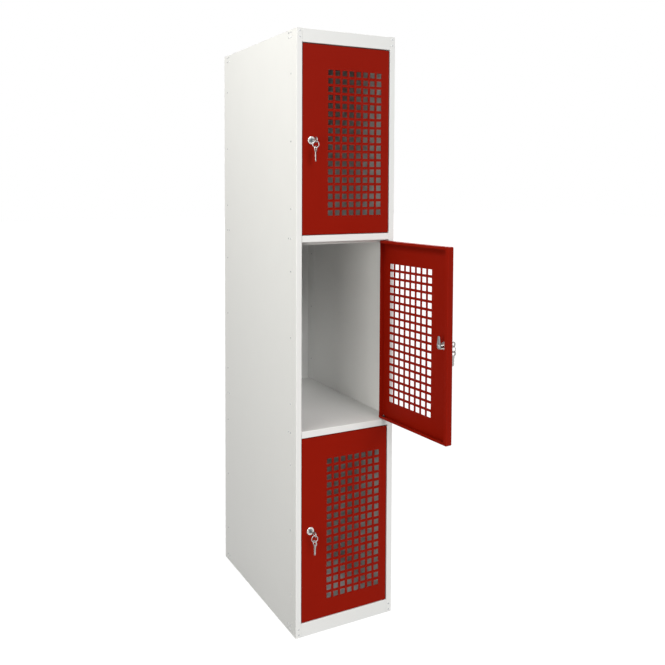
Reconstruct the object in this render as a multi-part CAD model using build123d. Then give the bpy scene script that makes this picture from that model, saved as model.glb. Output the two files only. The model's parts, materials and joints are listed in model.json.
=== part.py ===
from build123d import *
from math import hypot, sqrt
import os

# Locker for folding bicycles: a riveted sheet-steel cabinet of three compartments, one above the
# other, each closed by a perforated door that turns on two pivot pins and is held by a cam lock.
# Frame: origin at the middle of the base, +X to the right, +Y to the back, +Z up. Millimetres.
# The upper and the lower door are closed at rest and the middle one stands open.

# ---- cabinet ----
WIDTH = 375.0
DEPTH = 600.0
HEIGHT = 1980.0
SHEET = 1.0             # steel sheet of the cabinet
BEND = 0.6              # inside radius of a fold
SEAM = 0.5              # open joint between two sheets that meet edge to edge
FASCIA_HEIGHT = 44.0
PLINTH_HEIGHT = 44.0
RAIL_HEIGHT = 22.0      # front fold of each shelf
TIERS = ("lower", "middle", "upper")
REST_ANGLE = {"lower": 0.0, "middle": 94.0, "upper": 0.0}

# ---- front posts ----
POST_WIDTH = 20.0       # face of a post
POST_WRAP = 24.0        # outer flange, flush with the side panel
STRIP_LAP = 14.0        # seam strip behind the wrap of a post
STRIP_REACH = 40.0      # seam strip behind the side panel
STOP_WIDTH = 12.0       # door stop that reaches into the opening
STOP_LIP = 10.0         # door stop that hangs below a rail

# ---- flanges ----
SHELF_FLANGE = 20.0     # sides and back of a shelf
ROOF_FLANGE = 32.0
BACK_FLANGE = 50.0
RAIL_LIP = 12.0         # lips that join the roof and the floor to the front rails
TAB_LAP = 15.0          # lap of a rail's end tab behind its face
TAB_LENGTH = 17.0       # part of the tab behind the post
TAB_MARGIN = 2.0
BASE_LIP = 36.0         # inward lips that stand on the ground
FLANGE_PLAY = 3.0       # from a shelf's flange to the door stop

# ---- doors ----
DOOR_SHEET = 1.0
DOOR_DEPTH = 22.0
EDGE_LIP = 13.0         # inner lip along the free edge
END_LIP = 9.0           # inner lips at the top and the bottom
DOOR_CORNER = 4.0       # rounded corners of the welded pan
DOOR_RECESS = 1.0       # door face behind the faces of the posts
GAP_LOCK = 2.0
GAP_HINGE = 3.0
GAP_TOP = 3.0
GAP_BOTTOM = 2.0
LIP_GAP = 0.8           # open joint between two lips
HOLE_COLUMNS = 8
HOLE_ROWS = 18
HOLE_PITCH = 26.7
HOLE_SIZE = 18.0
HOLES_FROM_HINGE = 40.0  # door's hinge edge to the middle of the last column
HOLES_DROP = 8.5        # middle of the field below the middle of the door

# ---- pivots ----
PIVOT_INSET = 8.0       # pivot axis to the door's hinge edge
PIVOT_DEPTH = 6.5       # pivot axis to the door's face
PIN_RADIUS = 2.5
PIN_HEAD_RADIUS = 4.5
PIN_HEAD = 1.5
PIN_REACH = 11.0
RUNNING_FIT = 0.05      # radial, moving fits
SEAT_FIT = 0.05         # radial, fixed fits
BUSH_RADIUS = 4.0
BUSH_COLLAR_RADIUS = 5.4
BUSH_DEPTH = 7.0
BUSH_PLAY = 0.4         # collar to the cabinet

# ---- door buffers ----
BUFFER_THICKNESS = 3.0
BUFFER_PLAY = 0.3       # closed door to buffer
BUFFER_RADIUS = 5.0
BUFFER_STEM_RADIUS = 2.0
BUFFER_FROM_END = 120.0

# ---- cam lock ----
LOCK_FROM_EDGE = 31.0   # lock axis to the door's free edge
LOCK_DROP = 2.0         # lock axis below the middle of the door
COLLAR_RADIUS = 13.0
COLLAR_THICKNESS = 3.6
COLLAR_ROUND = 1.4
BODY_RADIUS = 9.2
BODY_FLATS = 16.0
HOLE_PLAY = 0.2         # lock body in the door
PLUG_RADIUS = 7.2
PLUG_RECESS = 0.5
WASHER_RADIUS = 12.2
WASHER_THICKNESS = 1.0
WASHER_TEETH = 16
NUT_FLATS = 23.0
NUT_THICKNESS = 4.5
CAM_CLEARANCE = 0.4     # turned cam behind the door stop
BODY_CLEARANCE = 0.6    # lock body to the cam
CAM_THICKNESS = 2.0
CAM_HUB_RADIUS = 8.0
CAM_TIP_RADIUS = 4.5
CAM_REACH = 33.0
TAIL_SIZE = 8.0
TAIL_FIT = 0.1
SCREW_HEAD_RADIUS = 4.6
SCREW_HEAD = 2.6
SCREW_RADIUS = 2.5
SCREW_LENGTH = 6.0
SLOT_WIDTH = 1.6
SLOT_DEPTH = 1.0

# ---- keys ----
KEY_THICKNESS = 2.0
KEY_WIDTH = 8.0
KEY_LENGTH = 50.0
BLADE_LENGTH = 20.0     # cut part of the key
KEY_INSERTED = 12.0     # part of the blade in the plug at rest
KEY_FIT = 0.15
BOW_RADIUS = 10.0
BOW_HOLE_RADIUS = 5.0
BOW_ROUND = 0.4
SHOULDER = 5.0
SHOULDER_WIDTH = 10.0
NOTCH_DEPTH = 1.3
NOTCHES = (0.24, 0.44, 0.62, 0.82)
RING_RADIUS = 10.5
RING_WIRE = 1.0
RING_PLAY = 0.15
SPARE_PLAY = 0.7
RING_YAW = {"lower": 10.0, "middle": 0.0, "upper": 12.0}
SPARE_YAW = {"lower": -24.0, "middle": 18.0, "upper": 42.0}

# ---- rivets and fixing holes ----
RIVET_RADIUS = 1.6
RIVET_HEAD_RADIUS = 3.0
RIVET_HEAD = 1.1
RIVET_BEVEL = 0.6
RIVET_TAIL_RADIUS = 2.3
RIVET_TAIL = 1.3
RIVET_DROP = 5.5        # middle rivet of a compartment below its middle
RIVET_SPREAD = 217.0    # outer rivets from the middle one
RIVET_FRONT = 39.0      # front row behind the face of the cabinet
RIVET_PAIR = 15.0       # second rivet of a pair, further back
RIVET_REAR = 29.0       # rear row from the back
CORNER_FIRST = 9.0      # corner rivets from the top and from the base
CORNER_PITCH = 15.0
FACE_INSET = 11.0       # face rivets from the outer edge of a post
FACE_FIRST = 9.0
FACE_PITCH = 19.0
BACK_SPACING = 120.0
FLOOR_HOLE_RADIUS = 5.5
FLOOR_HOLES_X = 334.0
FLOOR_HOLES_Y = 480.0
WALL_HOLE_RADIUS = 4.5
WALL_HOLES_X = 240.0
WALL_HOLES_DOWN = 90.0  # below the top of the cabinet

# ---- places that follow from the sizes above ----
SIDE = WIDTH / 2
FRONT = -DEPTH / 2
BACK = DEPTH / 2
OPENING = SIDE - POST_WIDTH
DOOR_FRONT = FRONT + DOOR_RECESS
DOOR_BACK = DOOR_FRONT + DOOR_DEPTH
STOP_FRONT = DOOR_BACK + BUFFER_THICKNESS + BUFFER_PLAY
STOP_BACK = STOP_FRONT + SHEET
WRAP_END = FRONT + POST_WRAP
FLANGE_SIDE = SIDE - 2 * SHEET      # outer skin of the flanges inside a seam strip
CLEAR_HEIGHT = (HEIGHT - FASCIA_HEIGHT - PLINTH_HEIGHT - (len(TIERS) - 1) * RAIL_HEIGHT) / len(TIERS)
FLOOR = {tier: PLINTH_HEIGHT + index * (CLEAR_HEIGHT + RAIL_HEIGHT) for index, tier in enumerate(TIERS)}
DOOR_LEFT = -OPENING + GAP_LOCK
DOOR_RIGHT = OPENING - GAP_HINGE
DOOR_HEIGHT = CLEAR_HEIGHT - GAP_TOP - GAP_BOTTOM
PIVOT_X = DOOR_RIGHT - PIVOT_INSET
PIVOT_Y = DOOR_FRONT + PIVOT_DEPTH
LOCK_X = DOOR_LEFT + LOCK_FROM_EDGE
LOCK_RISE = GAP_BOTTOM + DOOR_HEIGHT / 2 - LOCK_DROP    # above the floor of the compartment

# Depths along the lock axis, counted inwards from the face of the door.
CAM_FRONT = STOP_BACK + CAM_CLEARANCE - DOOR_FRONT
CAM_BACK = CAM_FRONT + CAM_THICKNESS
BODY_END = CAM_FRONT - BODY_CLEARANCE
PLUG_FRONT = PLUG_RECESS - COLLAR_THICKNESS
KEY_TIP = PLUG_FRONT + KEY_INSERTED
KEY_END = KEY_TIP - KEY_LENGTH
BOW_CENTRE = KEY_END + BOW_RADIUS

# Heights below the lock axis: the ring hangs on the lower rim of the bow, the spare key on the ring.
RIM_WIDTH = BOW_RADIUS - BOW_HOLE_RADIUS
RIM_DROP = BOW_HOLE_RADIUS + RIM_WIDTH / 2
RIM_SWEEP = hypot(RIM_WIDTH, KEY_THICKNESS) / 2
RING_DROP = RIM_DROP + RING_RADIUS - RING_WIRE - RIM_SWEEP - RING_PLAY
SPARE_PIVOT_DROP = RING_DROP + RING_RADIUS
SPARE_BOW_DROP = SPARE_PIVOT_DROP + BOW_HOLE_RADIUS - RING_WIRE - SPARE_PLAY


def slab(low, high):
    """A box between two opposite corners."""
    size = [b - a for a, b in zip(low, high)]
    middle = [(a + b) / 2 for a, b in zip(low, high)]
    return Pos(*middle) * Box(*size)


def folded(skin, sheet, side):
    """Cross-section of a folded sheet; skin is its left or right face, corner by corner."""
    radii = []
    for a, b, c in zip(skin, skin[1:], skin[2:]):
        turn = (b[0] - a[0]) * (c[1] - b[1]) - (b[1] - a[1]) * (c[0] - b[0])
        sheet_inside = (turn > 0) == (side == Side.LEFT)
        radii.append(BEND + sheet if sheet_inside else BEND)
    path = FilletPolyline(*skin, radius=radii)
    return make_face(offset(path, amount=sheet, side=side, kind=Kind.INTERSECTION))


def upright(section, low, high):
    """Extrude a plan section between two heights."""
    return extrude(Plane.XY.offset(low) * section, amount=high - low)


def across(section, left, right):
    """Extrude a section drawn in Y and Z between two places along X."""
    return extrude(Plane.YZ.offset(left) * section, amount=right - left)


def drilled(part, centres, radius, axis, reach):
    """Drill round holes at the given centres, along X, Y or Z."""
    turn = {"x": Rot(0, 90, 0), "y": Rot(90, 0, 0), "z": Rot(0, 0, 0)}[axis]
    return part - [Pos(*centre) * turn * Cylinder(radius, reach) for centre in centres]


# ---------------------------------------------------------------- rivets and holes

def side_rivets(sign):
    """Centres on a side panel's face and grips of the rivets of one side."""
    places = []
    for depth, pair in ((FRONT + RIVET_FRONT, RIVET_PAIR), (BACK - RIVET_REAR, -RIVET_PAIR)):
        for tier in TIERS:
            middle = FLOOR[tier] + CLEAR_HEIGHT / 2 - RIVET_DROP
            for rise in (-RIVET_SPREAD, 0, RIVET_SPREAD):
                places.append((depth, middle + rise, 2 * SHEET))
        for tier in TIERS[1:]:
            rail = FLOOR[tier] - RAIL_HEIGHT / 2
            places += [(depth, rail, 3 * SHEET), (depth + pair, rail, 3 * SHEET)]
        for level in (CORNER_FIRST, CORNER_FIRST + CORNER_PITCH):
            for height in (level, HEIGHT - level):
                places += [(depth, height, 3 * SHEET), (depth + pair, height, 3 * SHEET)]
    return [((sign * SIDE, depth, height), grip) for depth, height, grip in places]


def face_rivets():
    """Centres of the rivets on the faces of the posts."""
    levels = (FACE_FIRST, FACE_FIRST + FACE_PITCH)
    return [(sign * (SIDE - FACE_INSET), FRONT, height)
            for sign in (-1, 1) for level in levels for height in (level, HEIGHT - level)]


def back_rivet_levels():
    """Heights of the rows of rivets on the back: floor, shelves and roof."""
    shelves = [FLOOR[tier] - SHEET - SHELF_FLANGE / 2 for tier in TIERS]
    return shelves + [HEIGHT - SHEET - ROOF_FLANGE / 2]


def back_rivets():
    """Centres of the rivets on the back panel."""
    return [(x, BACK, height) for height in back_rivet_levels() for x in (-BACK_SPACING, 0, BACK_SPACING)]


def blind_rivet(grip):
    """Blind rivet with its head above Z = 0 and the sheets between 0 and -grip."""
    head = Pos(0, 0, RIVET_HEAD / 2) * Cylinder(RIVET_HEAD_RADIUS, RIVET_HEAD)
    head = chamfer(head.edges().group_by(Axis.Z)[-1], RIVET_BEVEL)
    shank = Pos(0, 0, -grip / 2) * Cylinder(RIVET_RADIUS, grip)
    tail = Pos(0, 0, -grip - RIVET_TAIL / 2) * Cylinder(RIVET_TAIL_RADIUS, RIVET_TAIL)
    return head + shank + tail


def side_rivet_set(sign):
    """All rivets of one side."""
    turn = Rot(0, 90 * sign, 0)
    return [Pos(*centre) * turn * blind_rivet(grip) for centre, grip in side_rivets(sign)]


def face_rivet_set():
    """The eight rivets on the faces of the posts."""
    return [Pos(*centre) * Rot(90, 0, 0) * blind_rivet(2 * SHEET) for centre in face_rivets()]


def back_rivet_set():
    """The rivets that hold the floor, the shelves and the roof to the back panel."""
    return [Pos(*centre) * Rot(-90, 0, 0) * blind_rivet(2 * SHEET) for centre in back_rivets()]


def drilled_for_sides(part, signs=(-1, 1)):
    """Drill the rivet holes of the sides through a piece."""
    centres = [centre for sign in signs for centre, grip in side_rivets(sign)]
    return drilled(part, centres, RIVET_RADIUS + SEAT_FIT, "x", 8 * SHEET)


def drilled_for_back(part):
    """Drill the rivet holes of the back through a piece."""
    return drilled(part, back_rivets(), RIVET_RADIUS + SEAT_FIT, "y", 8 * SHEET)


def drilled_for_faces(part):
    """Drill the rivet holes in the faces of the posts."""
    return drilled(part, face_rivets(), RIVET_RADIUS + SEAT_FIT, "y", 8 * SHEET)


def drilled_for_pins(part):
    """Drill the holes of the pivot pins through the sheets above and below each door."""
    centres = []
    for tier in TIERS:
        centres += [(PIVOT_X, PIVOT_Y, FLOOR[tier]), (PIVOT_X, PIVOT_Y, FLOOR[tier] + CLEAR_HEIGHT)]
    return drilled(part, centres, PIN_RADIUS + SEAT_FIT, "z", 4 * SHEET)


# ---------------------------------------------------------------- cabinet

def side_panel(sign):
    """Flat side panel from the seam of the post to the back."""
    inner, outer = sorted((sign * (SIDE - SHEET), sign * SIDE))
    panel = slab((inner, WRAP_END + SEAM, 0), (outer, BACK, HEIGHT))
    return drilled_for_sides(panel, (sign,))


def back_panel():
    """Back panel with forward flanges inside the side panels, and two holes for wall screws."""
    inside = SIDE - SHEET
    skin = [(-inside, BACK - BACK_FLANGE), (-inside, BACK), (inside, BACK), (inside, BACK - BACK_FLANGE)]
    panel = upright(folded(skin, SHEET, Side.RIGHT), 0, HEIGHT)
    panel = drilled_for_back(drilled_for_sides(panel))
    level = HEIGHT - WALL_HOLES_DOWN
    centres = [(sign * WALL_HOLES_X / 2, BACK, level) for sign in (-1, 1)]
    return drilled(panel, centres, WALL_HOLE_RADIUS, "y", 8 * SHEET)


def front_post(sign):
    """Post: outer wrap flush with the side panel, face, jamb and door stop."""
    top = HEIGHT - SHEET
    face = [(sign * SIDE, WRAP_END), (sign * SIDE, FRONT), (sign * OPENING, FRONT),
            (sign * OPENING, STOP_FRONT), (sign * (OPENING - STOP_WIDTH), STOP_FRONT)]
    post = upright(folded(face, SHEET, Side.LEFT if sign < 0 else Side.RIGHT), 0, top)
    # The jamb and the stop end at the plinth and at the fascia, and the stop makes way for the shelves.
    near, far = sorted((sign * (OPENING - STOP_WIDTH - SHEET), sign * (OPENING + SHEET + BEND)))
    for low, high in ((0, PLINTH_HEIGHT + SEAM), (HEIGHT - FASCIA_HEIGHT - SEAM, HEIGHT)):
        post -= slab((near, FRONT + SHEET, low), (far, STOP_BACK + SHEET, high))
    for tier in TIERS[1:]:
        near, far = sorted((sign * (OPENING - STOP_WIDTH - SHEET), sign * OPENING))
        post -= slab((near, STOP_FRONT - SEAM, FLOOR[tier] - RAIL_HEIGHT - SEAM),
                     (far, STOP_BACK + SEAM, FLOOR[tier] + SEAM))
    if sign < 0:
        post = drilled(post, buffer_centres(), BUFFER_STEM_RADIUS + SEAT_FIT, "y", 4 * SHEET)
    return drilled_for_faces(post)


def seam_strip(sign):
    """Flat strip welded behind the wrap of a post, riveted to the side panel and closing their seam."""
    inner, outer = sorted((sign * FLANGE_SIDE, sign * (SIDE - SHEET)))
    strip = slab((inner, WRAP_END - STRIP_LAP, 0), (outer, WRAP_END + STRIP_REACH, HEIGHT - SHEET))
    return drilled_for_sides(strip, (sign,))


def end_tabs(low, high):
    """Tabs at both ends of a front rail, stepped in to lie behind the faces of the posts."""
    tabs = []
    for sign in (-1, 1):
        near, far = sorted((sign * (OPENING - TAB_LAP), sign * (OPENING + TAB_LENGTH)))
        tabs.append(slab((near, FRONT + SHEET, low + TAB_MARGIN), (far, FRONT + 2 * SHEET, high - TAB_MARGIN)))
    return tabs


def top_rail():
    """Fascia above the upper door, with a roof strip over the posts and a stop for the door."""
    low = HEIGHT - FASCIA_HEIGHT
    half = OPENING - SEAM
    skin = [(WRAP_END, HEIGHT - RAIL_LIP), (WRAP_END, HEIGHT), (FRONT, HEIGHT), (FRONT, low),
            (STOP_FRONT, low), (STOP_FRONT, low - STOP_LIP)]
    rail = across(folded(skin, SHEET, Side.LEFT), -half, half)
    for sign in (-1, 1):
        near, far = sorted((sign * (half - STOP_WIDTH), sign * (half + SEAM)))
        rail -= slab((near, STOP_FRONT - SEAM, low - 2 * STOP_LIP), (far, STOP_BACK + SEAM, low))
        near, far = sorted((sign * (half - SEAM), sign * SIDE))
        rail += slab((near, FRONT, HEIGHT - SHEET), (far, WRAP_END, HEIGHT))
    rail += end_tabs(low, HEIGHT - SHEET)
    return drilled_for_faces(drilled_for_pins(rail))


def plinth_rail():
    """Plinth below the lower door, with a ledge that carries the front of the floor."""
    half = OPENING - SEAM
    skin = [(FRONT, 0), (FRONT, PLINTH_HEIGHT), (WRAP_END, PLINTH_HEIGHT), (WRAP_END, PLINTH_HEIGHT - RAIL_LIP)]
    rail = across(folded(skin, SHEET, Side.RIGHT), -half, half)
    rail += end_tabs(0, PLINTH_HEIGHT)
    return drilled_for_faces(drilled_for_pins(rail))


def roof_panel():
    """Roof sheet with flanges at all four sides, behind the strip of the top rail."""
    front, half = WRAP_END, FLANGE_SIDE
    roof = slab((-half, front, HEIGHT - SHEET), (half, BACK - SHEET, HEIGHT))
    low = HEIGHT - SHEET - ROOF_FLANGE
    for sign in (-1, 1):
        near, far = sorted((sign * half, sign * (half - SHEET)))
        roof += slab((near, STOP_BACK + FLANGE_PLAY, low), (far, BACK - SHEET, HEIGHT))
    roof += slab((-half, BACK - 2 * SHEET, low), (half, BACK - SHEET, HEIGHT))
    lip = OPENING - 2 * SHEET
    roof += slab((-lip, front, HEIGHT - RAIL_LIP), (lip, front + SHEET, HEIGHT))
    return drilled_for_back(drilled_for_sides(relieved(roof)))


def shelf(tier):
    """Shelf under a compartment: front rail, return and door stop, and flanges at the sides and back."""
    top = FLOOR[tier]
    low = top - RAIL_HEIGHT
    half = OPENING - SEAM
    skin = [(STOP_BACK + FLANGE_PLAY, top), (FRONT, top), (FRONT, low), (STOP_FRONT, low),
            (STOP_FRONT, low - STOP_LIP)]
    plate = across(folded(skin, SHEET, Side.LEFT), -half, half)
    for sign in (-1, 1):
        near, far = sorted((sign * (half - STOP_WIDTH), sign * (half + SEAM)))
        plate -= slab((near, STOP_FRONT - SEAM, low - 2 * STOP_LIP), (far, STOP_BACK + SEAM, low))
    back_start = STOP_BACK + FLANGE_PLAY
    plate += slab((-FLANGE_SIDE, back_start, top - SHEET), (FLANGE_SIDE, BACK - SHEET, top))
    flange_low = top - SHEET - SHELF_FLANGE
    for sign in (-1, 1):
        near, far = sorted((sign * FLANGE_SIDE, sign * (FLANGE_SIDE - SHEET)))
        plate += slab((near, back_start, flange_low), (far, BACK - SHEET, top))
    plate += slab((-FLANGE_SIDE, BACK - 2 * SHEET, flange_low), (FLANGE_SIDE, BACK - SHEET, top))
    return drilled_for_pins(drilled_for_back(drilled_for_sides(relieved(plate))))


def floor_tray():
    """Floor of the lower compartment, with walls down to the ground and lips bolted to it."""
    top = PLINTH_HEIGHT
    start = WRAP_END
    skin = [(-FLANGE_SIDE + BASE_LIP, 0), (-FLANGE_SIDE, 0), (-FLANGE_SIDE, top), (FLANGE_SIDE, top),
            (FLANGE_SIDE, 0), (FLANGE_SIDE - BASE_LIP, 0)]
    walls_start = STOP_BACK + FLANGE_PLAY
    section = folded(skin, SHEET, Side.RIGHT)
    tray = extrude(Plane.XZ.offset(-BACK + SHEET) * section, amount=BACK - SHEET - walls_start)
    lip = OPENING - 2 * SHEET
    tray += slab((-lip, start, top - SHEET), (lip, walls_start + SHEET, top))
    tray += slab((-lip, start, top - RAIL_LIP), (lip, start + SHEET, top))
    tray += slab((-FLANGE_SIDE + SHEET, BACK - 2 * SHEET, top - SHEET - SHELF_FLANGE),
                 (FLANGE_SIDE - SHEET, BACK - SHEET, top))
    tray = drilled_for_back(drilled_for_sides(relieved(tray)))
    centres = [(x * FLOOR_HOLES_X / 2, y * FLOOR_HOLES_Y / 2, 0) for x in (-1, 1) for y in (-1, 1)]
    return drilled(tray, centres, FLOOR_HOLE_RADIUS, "z", 4 * SHEET)


def relieved(part):
    """Cut the rear corners of a piece clear of the folds of the back panel."""
    relief = BEND + SHEET
    for sign in (-1, 1):
        near, far = sorted((sign * (FLANGE_SIDE - relief), sign * SIDE))
        part -= slab((near, BACK - SHEET - relief, -SHEET), (far, BACK, HEIGHT + SHEET))
    return part


def pivot_pin():
    """Riveted pivot pin: head on Z = 0, sheet from 0 to SHEET below it, then the shank."""
    pin = Pos(0, 0, PIN_HEAD / 2) * Cylinder(PIN_HEAD_RADIUS, PIN_HEAD)
    pin = fillet(pin.edges().group_by(Axis.Z)[-1], PIN_HEAD / 2)
    length = SHEET + PIN_REACH
    shank = Pos(0, 0, -length / 2) * Cylinder(PIN_RADIUS, length)
    return pin + chamfer(shank.edges().group_by(Axis.Z)[0], PIN_RADIUS / 4)


def hinge_pins():
    """One pin above and one below each door."""
    pins = []
    for tier in TIERS:
        upper = FLOOR[tier] + CLEAR_HEIGHT + SHEET
        lower = FLOOR[tier] - SHEET
        pins.append(Pos(PIVOT_X, PIVOT_Y, upper) * pivot_pin())
        pins.append(Pos(PIVOT_X, PIVOT_Y, lower) * Rot(180, 0, 0) * pivot_pin())
    return pins


def buffer_centres():
    """Two buffers on the door stop beside each lock."""
    x = -OPENING + STOP_WIDTH / 2
    places = []
    for tier in TIERS:
        low = FLOOR[tier] + BUFFER_FROM_END
        high = FLOOR[tier] + CLEAR_HEIGHT - BUFFER_FROM_END
        places += [(x, STOP_FRONT, low), (x, STOP_FRONT, high)]
    return places


def door_buffers():
    """Rubber buttons pushed into the door stop."""
    button = Pos(0, 0, BUFFER_THICKNESS / 2) * Cylinder(BUFFER_RADIUS, BUFFER_THICKNESS)
    button = fillet(button.edges().group_by(Axis.Z)[-1], BUFFER_THICKNESS / 2.5)
    button += Pos(0, 0, -SHEET / 2) * Cylinder(BUFFER_STEM_RADIUS, SHEET)
    button += Pos(0, 0, -SHEET * 1.5) * Cylinder(BUFFER_STEM_RADIUS * 1.4, SHEET)
    return [Pos(*centre) * Rot(90, 0, 0) * button for centre in buffer_centres()]


# ---------------------------------------------------------------- doors

def rounded_block(width, depth, height, corner, bend):
    """A block with four rounded corners and with folds round its front and its back."""
    block = Box(width, depth, height)
    block = fillet(block.edges().filter_by(Axis.Y), corner)
    return fillet(block.edges().filter_by(Axis.Y, reverse=True), bend)


def door_pan(tier):
    """Folded door pan with its field of square holes, lock hole and bush holes, closed."""
    low = FLOOR[tier] + GAP_BOTTOM
    high = low + DOOR_HEIGHT
    middle = ((DOOR_LEFT + DOOR_RIGHT) / 2, (DOOR_FRONT + DOOR_BACK) / 2, (low + high) / 2)
    width = DOOR_RIGHT - DOOR_LEFT
    pan = rounded_block(width, DOOR_DEPTH, DOOR_HEIGHT, DOOR_CORNER, BEND + DOOR_SHEET)
    pan -= rounded_block(width - 2 * DOOR_SHEET, DOOR_DEPTH - 2 * DOOR_SHEET, DOOR_HEIGHT - 2 * DOOR_SHEET,
                         DOOR_CORNER - DOOR_SHEET, BEND)
    pan = Pos(*middle) * pan
    # The free edge, the top and the bottom carry lips; the flange at the hinge has none.
    lip_edge = DOOR_LEFT + EDGE_LIP
    pan -= slab((lip_edge, DOOR_BACK - 2 * DOOR_SHEET, low + END_LIP),
                (DOOR_RIGHT + DOOR_SHEET, DOOR_BACK + DOOR_SHEET, high - END_LIP))
    for start, end in ((low + DOOR_CORNER, low + END_LIP), (high - END_LIP, high - DOOR_CORNER)):
        pan -= slab((lip_edge, DOOR_BACK - 2 * DOOR_SHEET, start),
                    (lip_edge + LIP_GAP, DOOR_BACK + DOOR_SHEET, end))
    field_x = DOOR_RIGHT - HOLES_FROM_HINGE - (HOLE_COLUMNS - 1) * HOLE_PITCH / 2
    punch = Sketch() + [place * Rectangle(HOLE_SIZE, HOLE_SIZE)
                        for place in GridLocations(HOLE_PITCH, HOLE_PITCH, HOLE_COLUMNS, HOLE_ROWS)]
    pan -= Pos(field_x, DOOR_FRONT, middle[2] - HOLES_DROP) * extrude(
        Plane.XZ * punch, amount=2 * DOOR_SHEET, both=True)
    lock_hole = Circle(BODY_RADIUS + HOLE_PLAY) & Rectangle(BODY_FLATS + 2 * HOLE_PLAY, 4 * BODY_RADIUS)
    pan -= Pos(LOCK_X, DOOR_FRONT, FLOOR[tier] + LOCK_RISE) * extrude(
        Plane.XZ * lock_hole, amount=2 * DOOR_SHEET, both=True)
    centres = [(PIVOT_X, PIVOT_Y, low), (PIVOT_X, PIVOT_Y, high)]
    return drilled(pan, centres, BUSH_RADIUS + SEAT_FIT, "z", 4 * DOOR_SHEET)


def hinge_bushes(tier):
    """Nylon bushes in the bottom and the top flange of a door."""
    collar = GAP_BOTTOM - BUSH_PLAY
    bush = Pos(0, 0, -collar / 2) * Cylinder(BUSH_COLLAR_RADIUS, collar)
    bush += Pos(0, 0, BUSH_DEPTH / 2) * Cylinder(BUSH_RADIUS, BUSH_DEPTH)
    bush -= Cylinder(PIN_RADIUS + RUNNING_FIT, 4 * BUSH_DEPTH)
    low = FLOOR[tier] + GAP_BOTTOM
    return [Pos(PIVOT_X, PIVOT_Y, low) * bush,
            Pos(PIVOT_X, PIVOT_Y, low + DOOR_HEIGHT) * Rot(180, 0, 0) * bush]


# ---------------------------------------------------------------- lock, along Z with the inside of the door up

def flatted(radius, flats, low, high):
    """A round bar with two flats."""
    section = Circle(radius) & Rectangle(flats, 4 * radius)
    return upright(section, low, high)


def lock_housing():
    """Lock body with a round collar in front of the door and two flats along its shank."""
    collar = Pos(0, 0, -COLLAR_THICKNESS / 2) * Cylinder(COLLAR_RADIUS, COLLAR_THICKNESS)
    collar = fillet(collar.edges().group_by(Axis.Z)[0], COLLAR_ROUND)
    housing = collar + flatted(BODY_RADIUS, BODY_FLATS, 0, BODY_END)
    return housing - Cylinder(PLUG_RADIUS + RUNNING_FIT, 4 * BODY_END)


def lock_washer():
    """Serrated washer between the door and the nut."""
    washer = upright(Circle(WASHER_RADIUS), 0, WASHER_THICKNESS)
    tooth = Pos(WASHER_RADIUS, 0, 0) * Box(WASHER_THICKNESS, WASHER_THICKNESS, 4 * WASHER_THICKNESS)
    washer -= [Rot(0, 0, index * 360 / WASHER_TEETH) * tooth for index in range(WASHER_TEETH)]
    washer -= Cylinder(BODY_RADIUS + SEAT_FIT, 4 * WASHER_THICKNESS)
    return Pos(0, 0, DOOR_SHEET) * washer


def lock_nut():
    """Hexagon nut on the lock body."""
    start = DOOR_SHEET + WASHER_THICKNESS
    nut = upright(RegularPolygon(NUT_FLATS / 2, 6, major_radius=False), start, start + NUT_THICKNESS)
    return nut - Cylinder(BODY_RADIUS + SEAT_FIT, 8 * (start + NUT_THICKNESS))


def lock_plug():
    """Rotor with the key slot, a shoulder against the cam and a square tail through it."""
    plug = Pos(0, 0, (PLUG_FRONT + CAM_FRONT) / 2) * Cylinder(PLUG_RADIUS, CAM_FRONT - PLUG_FRONT)
    tail_end = CAM_BACK - TAIL_FIT
    plug += slab((-TAIL_SIZE / 2, -TAIL_SIZE / 2, CAM_FRONT), (TAIL_SIZE / 2, TAIL_SIZE / 2, tail_end))
    half_width = KEY_WIDTH / 2 + KEY_FIT
    half_gap = KEY_THICKNESS / 2 + KEY_FIT
    slot_end = PLUG_FRONT + BLADE_LENGTH + KEY_FIT
    plug -= slab((-half_gap, -half_width, 2 * PLUG_FRONT), (half_gap, half_width, slot_end))
    return plug - Pos(0, 0, tail_end - SCREW_LENGTH / 2) * Cylinder(SCREW_RADIUS + SEAT_FIT, SCREW_LENGTH + 1)


def lock_cam():
    """Cam that points up, away from the Y axis, when the lock is open."""
    hub = Circle(CAM_HUB_RADIUS)
    tip = Pos(0, CAM_TIP_RADIUS - CAM_REACH) * Circle(CAM_TIP_RADIUS)
    cam = upright(make_hull(hub.edges() + tip.edges()), CAM_FRONT, CAM_BACK)
    hole = TAIL_SIZE + 2 * TAIL_FIT
    return cam - Pos(0, 0, CAM_FRONT) * Box(hole, hole, 8 * CAM_THICKNESS)


def cam_screw():
    """Pan-head screw that holds the cam on the tail of the plug."""
    head = Pos(0, 0, CAM_BACK + SCREW_HEAD / 2) * Cylinder(SCREW_HEAD_RADIUS, SCREW_HEAD)
    head = fillet(head.edges().group_by(Axis.Z)[-1], SCREW_HEAD / 2)
    head -= Pos(0, 0, CAM_BACK + SCREW_HEAD) * Box(4 * SCREW_HEAD_RADIUS, SLOT_WIDTH, 2 * SLOT_DEPTH)
    shank = Pos(0, 0, CAM_BACK - SCREW_LENGTH / 2) * Cylinder(SCREW_RADIUS, SCREW_LENGTH)
    return head + shank


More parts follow.
